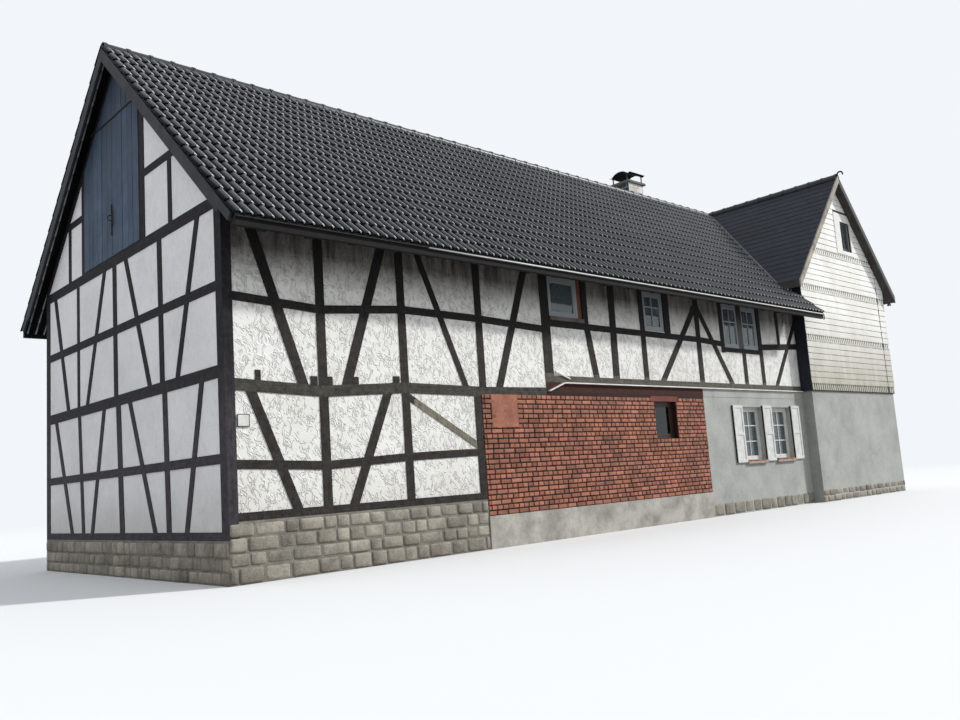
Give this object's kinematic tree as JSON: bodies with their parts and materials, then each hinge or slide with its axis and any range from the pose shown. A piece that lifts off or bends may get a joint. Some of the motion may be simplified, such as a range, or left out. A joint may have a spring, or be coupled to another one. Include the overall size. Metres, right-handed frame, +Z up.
{
  "type": "half timbered farmhouse",
  "caption": "Long two storey half timbered farmhouse with a timber gable, a loft door, tiled roofs and a slate clad cross wing with its gable to the front.",
  "frame": {"origin": "under the middle of the whole house, at the level of its lowest wall", "axes": "+X along the long front from the timber gable to the wing, +Y from the front to the back, +Z up"},
  "size_m": [20.94, 8.71, 9.4222],
  "materials": {
    "barge_paint": "matte",
    "blue_boards": "matte",
    "brick": "matte",
    "brown_board": "matte",
    "chimney_stone": "rough",
    "clay": "matte",
    "concrete": "rough",
    "cowl_metal": "satin",
    "dark_timber": "rough",
    "floor_boards": "matte",
    "glass": "gloss",
    "grey_board": "rough",
    "masonry": "matte",
    "pale_barge": "matte",
    "plaster": "matte",
    "plinth_render": "rough",
    "render": "matte",
    "roof_tiles": "satin",
    "stone_base": "rough",
    "white_paint": "satin",
    "white_slate": "matte",
    "zinc": "satin"
  },
  "bodies": {
    "root": {"base_walls": "stone_base", "brick_plinth": "plinth_render", "ground_floor": "concrete", "front_frame_lower": "dark_timber", "front_infill_lower": "plaster", "storey_beams": "dark_timber", "front_frame_upper": "dark_timber", "front_infill_upper": "plaster", "brick_wall": "brick", "brick_lintel": "brick", "rendered_wall": "render", "metal_strips": "zinc", "gable_frame": "dark_timber", "gable_infill": "plaster", "loft_frame": "dark_timber", "loft_infill": "plaster", "doors": "blue_boards", "gable_boards": "blue_boards", "back_frame": "dark_timber", "back_infill": "plaster", "upper_floor": "floor_boards", "loft_floor": "floor_boards", "rafters_front": "dark_timber", "rafters_back": "dark_timber", "window_frames": "white_paint", "glass_panes": "glass", "jamb_board": "brown_board", "sill_board": "grey_board", "eave_boards": "barge_paint", "tile_sills": "clay", "shutters": "white_paint", "main_roof_front": "roof_tiles", "main_roof_back": "roof_tiles", "ridge_tiles": "roof_tiles", "barge_boards": "barge_paint", "wing_ground_walls": "render", "wing_gable_walls": "masonry", "wing_side_walls": "masonry", "wing_cladding": "white_slate", "wing_roof_left": "roof_tiles", "wing_roof_right": "roof_tiles", "wing_barge_boards": "pale_barge", "chimney": "chimney_stone", "chimney_cap": "chimney_stone", "chimney_cowl": "cowl_metal"}
  },
  "joints": []
}
